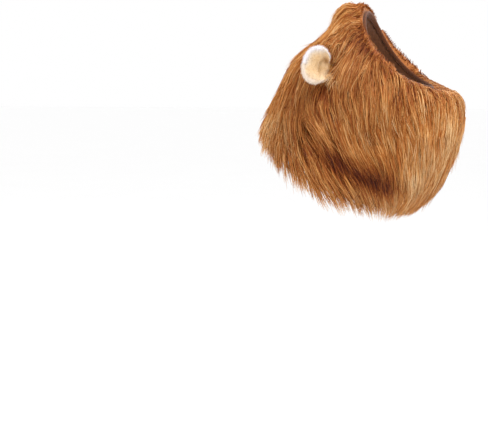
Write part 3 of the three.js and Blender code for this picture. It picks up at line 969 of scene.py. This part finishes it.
def ear_surface(share, height, offset, mirrored):
    """Points of an ear: share goes across it from -1 to 1, height from its base to its tip, and offset is the
    distance behind its curled middle surface."""
    seat, across, forward, up = ear_frame()
    row = rows_at(EAR_ROWS, np.maximum(height, 0))
    half = row[..., 1] * EAR_WIDTH / 2
    curl = np.radians(row[..., 2])
    radius = half / curl
    turn = curl * share
    sideways = (radius + offset) * np.sin(turn)
    ahead = radius - (radius + offset) * np.cos(turn) + row[..., 3] * EAR_HEIGHT
    points = (
        seat + sideways[..., None] * across + ahead[..., None] * forward + (height * EAR_HEIGHT)[..., None] * up
    )
    return points * np.array([-1 if mirrored else 1, 1, 1])


def ear_pad(name, mirrored, lowest, edge, back, front, finish, columns=36, rows=34):
    """A padded layer of an ear: edge is its distance inside the ear's outline, in metres, and back and front give the
    distances of its faces behind the middle surface from the distance to its own edge."""
    heights = lowest + (1 - edge / EAR_HEIGHT - lowest) * (1 - (1 - np.linspace(0, 1, rows)) ** 1.6)
    half = rows_at(EAR_ROWS, np.maximum(heights, 0))[:, 1] * EAR_WIDTH / 2
    shares = np.sin(np.linspace(-math.pi / 2, math.pi / 2, columns))
    reach = 1 - edge * (0.2 + 0.8 * smooth(heights / 0.6)) / half
    narrowed = 0.45 * smooth((0.17 - heights) / 0.18)[:, None] * (shares < 0)
    widened = 0.3 * smooth((0.34 - heights) / 0.3)[:, None] * (shares > 0)
    share = shares[None, :] * reach[:, None] * (1 - narrowed + widened)
    height = np.repeat(heights[:, None], columns, 1)
    to_side = (1 - np.abs(shares))[None, :] * (half * reach)[:, None]
    to_top = (heights[-1] - height) * EAR_HEIGHT
    inwards = np.minimum(to_side, to_top)
    two_faces = [ear_surface(share, height, face(inwards, height, share), mirrored) for face in (back, front)]

    count = rows * columns
    quads = grid_faces(rows, columns)
    numbers = np.arange(count).reshape(rows, columns)
    rim = [*numbers[:, 0], *numbers[-1, 1:], *numbers[-2::-1, -1], *numbers[0, -2:0:-1]]
    faces = [*quads, *(quads[:, ::-1] + count)]
    faces += [(b, a, a + count, b + count) for a, b in zip(rim, rim[1:] + rim[:1])]
    made = mesh_object(name, np.concatenate([points.reshape(-1, 3) for points in two_faces]), faces, finish)
    facing_out(made)

    # How much painted shade a place has, in the ear's creases, recess and lobe and towards its foot, and how near to
    # the border it is, first on the back face and then on the front
    painted_shade = 0.35 * valley(height, share) + 0.7 * recess(height, share) + 0.5 * lobe(height, share)
    # Darker towards the ear's foot: painted shade where the hair falls over it
    foot = smooth((0.10 - height) / 0.15)
    hollow = [np.clip(depth + foot, 0, 1) for depth in (0.2 * painted_shade, painted_shade)]
    at_back = (1 - foot) * (1 - 0.7 * smooth((share - 0.1) / 0.5))
    tip = (1 - smooth(inwards / 0.018)) * smooth((height - 0.3) / 0.4) * (1 - 0.9 * smooth((share + 0.1) / 0.7))
    at_front = np.clip(tip + 0.2 * smooth((share - 0.3) / 0.5), 0, 1)
    point_attribute(made.data, "hollow", np.concatenate(hollow))
    point_attribute(made.data, "border", np.concatenate([at_back, at_front]))
    return made


def rounded(distance, radius):
    """Half a round edge: 0 at the edge and 1 from radius inwards."""
    return np.sqrt(np.maximum(0, 1 - (1 - np.clip(distance / radius, 0, 1)) ** 2))


def valley(height, share):
    """The line across the lining where its lower lobe folds in."""
    return np.exp(-(((height - 0.37 + 0.10 * share**2) / 0.045) ** 2)) * smooth((0.75 - np.abs(share)) / 0.4)


def recess(height, share):
    """The hollow at the ear's foot, above the lobe."""
    return np.exp(-(((height - 0.22) / 0.14) ** 2) - ((share + 0.62) / 0.28) ** 2)


def lobe(height, share):
    """The soft bulge at the ear's foot."""
    return np.exp(-(((height - 0.17) / 0.13) ** 2) - ((share - 0.12) / 0.36) ** 2)


def shell_back(inwards, height, share):
    return -0.0005 + 0.0055 * rounded(inwards, 0.006)


def shell_front(inwards, height, share):
    roll = rounded(inwards, 0.006) * (1 - smooth((inwards - 0.006) / 0.007)) * smooth(height / 0.6)
    return -0.0005 - 0.0042 * roll + 0.0005 * rounded(inwards, 0.012)


def lining_back(inwards, height, share):
    return -0.0016 + 0.0012 * rounded(inwards, 0.003)


def lining_front(inwards, height, share):
    """The lining is puffed out over its filling, with a lobe at its foot."""
    puff = smooth(inwards / 0.02) * (1 - 0.9 * valley(height, share)) * (1 - 0.8 * recess(height, share))
    return -0.0016 - 0.0024 * rounded(inwards, 0.006) - 0.0045 * puff - 0.0045 * lobe(height, share)


def fuzz_tree():
    """Short upright pile on a surface: thin cones, leaned a little at random."""
    tree, given = geometry_tree("plush_pile", [
        ("Density", "Float", 300000.0),
        ("Length", "Float", 0.004),
        ("Thickness", "Float", 0.0004),
        ("Lean", "Float", 0.6),
        ("Seed", "Int", 1),
        ("Finish", "Material", None),
    ])
    spots = tree.node("GeometryNodeDistributePointsOnFaces", {"distribute_method": "RANDOM"}, {
        "Mesh": given["Geometry"], "Density": given["Density"], "Seed": given["Seed"],
    })
    tuft = tree.node("GeometryNodeMeshCone", {"fill_type": "NGON"}, {
        "Vertices": 3, "Side Segments": 1, "Radius Top": 0.0, "Radius Bottom": given["Thickness"],
        "Depth": given["Length"],
    })
    leaned = tree.node("FunctionNodeRandomValue", {"data_type": "FLOAT_VECTOR"}, {
        0: (-1.0, -1.0, -1.0), 1: (1.0, 1.0, 1.0), "Seed": given["Seed"],
    })
    direction = tree.vector("ADD", spots.of("Normal"), tree.scaled(leaned, given["Lean"]))
    turned = tree.node("FunctionNodeAlignRotationToVector", {"axis": "Z"}, {"Vector": direction})
    size = tree.node("FunctionNodeRandomValue", {"data_type": "FLOAT"}, {2: 0.6, 3: 1.15, "Seed": given["Seed"] + 5})
    pile = tree.node("GeometryNodeInstanceOnPoints", {}, {
        "Points": spots, "Instance": tuft, "Rotation": turned, "Scale": size,
    })
    return end_tree(tree, pile, given["Finish"])


# Each plush's colours: pale, deep, the painted shade for its hollows and the ear's foot, and its border's
white_plush = plush_finish(
    "white_plush", colour(238, 218, 192), colour(210, 188, 158), colour(158, 114, 64), colour(224, 219, 222),
)
cream_plush = plush_finish(
    "cream_plush", colour(248, 229, 196), colour(222, 182, 122), colour(176, 116, 26), colour(240, 230, 218),
)
fuzz = fuzz_tree()

EAR_LAYERS = (
    ("shell", "white_plush", white_plush, -EAR_ROOT / EAR_HEIGHT, 0.0, shell_back, shell_front, 0.0040),
    ("lining", "cream_plush", cream_plush, -EAR_ROOT / EAR_HEIGHT / 2, 0.0034, lining_back, lining_front, 0.0052),
)
for side, mirrored in (("right", False), ("left", True)):
    for layer, slot, finish, lowest, edge, back, front, length in EAR_LAYERS:
        node = f"ear_{side}_{layer}"
        pad = ear_pad(node + "_pad", mirrored, lowest, edge, back, front, finish)
        pile = grown(node + "_pile", pad.data, fuzz, {"Density": 320000.0, "Length": length, "Finish": finish})
        dress(pad, node, slot)
        dress(pile, node, slot)


# Cap and hems

cap_knit = knit_finish("cap_knit", colour(128, 82, 52), colour(74, 42, 24), 420)
hem_knit = knit_finish("hem_rib", colour(122, 72, 40), colour(66, 35, 18), 300)
thread = thread_finish()
CLOTH_ROUND = 0.6  # how much cloth there is round the cap and each hem
HEM_GIRTH = 0.034  # and round a hem's roll


def cap_face(more):
    """A face of the cap's cloth, with fine folds that run into its hems and a seam at the nape."""
    def shape(along, angles):
        near_hem = np.exp(-((along - 0.06) / 0.09) ** 2) + np.exp(-((along - 0.94) / 0.07) ** 2)
        folds = 0.0005 * near_hem * (np.sin(46 * angles) + 0.5 * np.sin(73 * angles + 2))
        seam = 0.0008 * np.exp(-((np.abs(angles) - math.pi) / 0.012) ** 2)
        return section_point(along, angles, 0.0, more + folds - seam) - CROWN_SEAT
    return shape


cap_places = np.linspace(HEM_END + 0.004, 1 - HEM_END - 0.004, 20)
cap_rings = [
    face(along, round_angles(200))
    for face, places in ((cap_face(CAP_WALL - 0.0006), cap_places), (cap_face(CAP_WALL - 0.0020), cap_places[::-1]))
    for along in places
]
cap_v = np.concatenate([cap_places, cap_places[::-1]]) * CAP_LENGTH
cap = ring_body("base_cap_cloth", cap_rings, cap_knit, "cloth", CLOTH_ROUND, cap_v)
dress(cap, "base_cap", "cap_fabric")


def hem(name, node, start, puckers):
    """An elastic cord in a fold of the knit, gathered into small puckers."""
    turns = np.linspace(0, 2 * math.pi, 12, endpoint=False)
    angles = round_angles(288)
    middle = start + HEM_END / 2
    deepest, fine = 0.10, 0.04  # the puckers' depths as shares of the hem's thickness
    rings = []
    for turn in turns:
        square = (abs(math.cos(turn)) ** 4 + abs(math.sin(turn)) ** 4) ** -0.25
        on_face = max(0.0, 1 - abs(math.cos(turn)))
        pucker = 1 + deepest * np.sin(puckers * angles) * on_face + fine * np.sin(2.3 * puckers * angles + 1)
        across = math.sin(turn) * square * HEM_THICKNESS / 2 * 0.93 * (pucker / 1.12)
        along = middle + math.cos(turn) * square * HEM_END / 2 * 0.97
        rings.append(section_point(along, angles, 0.0, HEM_STAND - HEM_THICKNESS / 2 + across) - CROWN_SEAT)
    made = ring_body(name, rings, hem_knit, "cloth", CLOTH_ROUND, turns / (2 * math.pi) * HEM_GIRTH)
    dress(made, node, "hem_fabric")


hem("face_hem_band", "face_hem", 0.0, 62)
hem("neck_hem_band", "neck_hem", 1 - HEM_END, 84)


def stitch_tree():
    """Stitches along closed paths: short rounded threads, turned to follow the path."""
    tree, given = geometry_tree("stitch_line", [
        ("Pitch", "Float", 0.004),
        ("Thickness", "Float", 0.0005),
        ("Finish", "Material", None),
    ])
    path = tree.node("GeometryNodeMeshToCurve", {}, {"Mesh": given["Geometry"]})
    spots = tree.node("GeometryNodeCurveToPoints", {"mode": "LENGTH"}, {"Curve": path, "Length": given["Pitch"]})
    stitch = tree.node("GeometryNodeMeshUVSphere", {}, {"Segments": 5, "Rings": 4, "Radius": given["Thickness"]})
    longer = given["Pitch"] / given["Thickness"] * 0.36
    stitches = tree.node("GeometryNodeInstanceOnPoints", {}, {
        "Points": spots, "Instance": stitch, "Rotation": spots.of("Rotation"),
        "Scale": tree.node("ShaderNodeCombineXYZ", {}, {0: 1.0, 1: 1.0, 2: longer}),
    })
    return end_tree(tree, stitches, given["Finish"])


stitching = stitch_tree()


def stitched(name, along):
    """A line of stitches round the inner face of a hem."""
    angles = round_angles(200)
    points = section_point(along, angles, 0.0, -HEM_INSET - 0.0001) - CROWN_SEAT
    count = len(angles)
    path = bpy.data.meshes.new(name + "_path")
    path.from_pydata(points.tolist(), [(i, (i + 1) % count) for i in range(count)], [])
    stitches = grown(name, path, stitching, {"Finish": thread})
    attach(stitches, root)


stitched("face_hem_stitches", HEM_END * 0.8)
stitched("neck_hem_stitches", 1 - HEM_END * 0.8)

# Stage: a pale floor, soft studio light and the camera

FLOOR_LEVEL = -0.8
FLOOR_REACH = 40
floor_finish, floor_tree, floor_shader = material("pale_floor", 0.9, 0.0, 0.1)
grain = noise(floor_tree, on_object(floor_tree), 3.0, 4.0)
link(mixed(floor_tree, grain, (0.975, 0.975, 0.975), (0.995, 0.995, 0.995)), floor_shader, "Base Color")
corners = [(x * FLOOR_REACH, y * FLOOR_REACH, FLOOR_LEVEL) for x, y in ((-1, -1), (1, -1), (1, 1), (-1, 1))]
floor = mesh_object("floor", corners, [(0, 1, 2, 3)], floor_finish)

world = bpy.data.worlds.new("studio")
world.use_nodes = True
background = world.node_tree.nodes["Background"]
background.inputs["Color"].default_value = (1.0, 1.0, 1.0, 1.0)
background.inputs["Strength"].default_value = 1.0
bpy.context.scene.world = world
bpy.context.scene.view_settings.view_transform = "Standard"

IMAGE_WIDTH, IMAGE_HEIGHT = 488, 427
METRES_PER_PIXEL = 0.00205
ORIGIN_PIXEL = (352.4, 31.0)
CAMERA_DISTANCE = 3.0
CAMERA_AZIMUTH = math.radians(-70)
CAMERA_ELEVATION = math.radians(5)
SENSOR_WIDTH = 36.0
back = Vector((
    math.sin(CAMERA_AZIMUTH) * math.cos(CAMERA_ELEVATION),
    -math.cos(CAMERA_AZIMUTH) * math.cos(CAMERA_ELEVATION),
    math.sin(CAMERA_ELEVATION),
))
right = (-back).cross(Vector((0, 0, 1))).normalized()
up = right.cross(-back)
aim = (
    right * (IMAGE_WIDTH / 2 - ORIGIN_PIXEL[0]) * METRES_PER_PIXEL
    + up * (ORIGIN_PIXEL[1] - IMAGE_HEIGHT / 2) * METRES_PER_PIXEL
)
camera_data = bpy.data.cameras.new("camera")
camera = placed("camera", camera_data)
camera.location = aim + back * CAMERA_DISTANCE
camera.rotation_euler = (-back).to_track_quat("-Z", "Y").to_euler()
camera_data.sensor_width = SENSOR_WIDTH
camera_data.sensor_fit = "HORIZONTAL"
camera_data.lens = SENSOR_WIDTH * CAMERA_DISTANCE / METRES_PER_PIXEL / IMAGE_WIDTH
bpy.context.scene.camera = camera

WIG_MIDDLE = Vector((0, 0, -0.17))


def softbox(name, towards, distance, size, power):
    """A square area light that faces the wig."""
    light = bpy.data.lights.new(name, "AREA")
    light.size = size
    light.energy = power
    made = placed(name, light)
    made.location = WIG_MIDDLE + towards.normalized() * distance
    made.rotation_euler = towards.to_track_quat("Z", "Y").to_euler()


softbox("key_softbox", back * 0.55 + up * 0.9 + right * 0.35, 2.2, 1.4, 38)
softbox("fill_softbox", back * 0.7 + up * 0.1 - right * 0.8, 2.4, 1.6, 10)
softbox("far_softbox", -back * 0.8 + up * 0.7 + right * 0.3, 2.4, 1.6, 18)
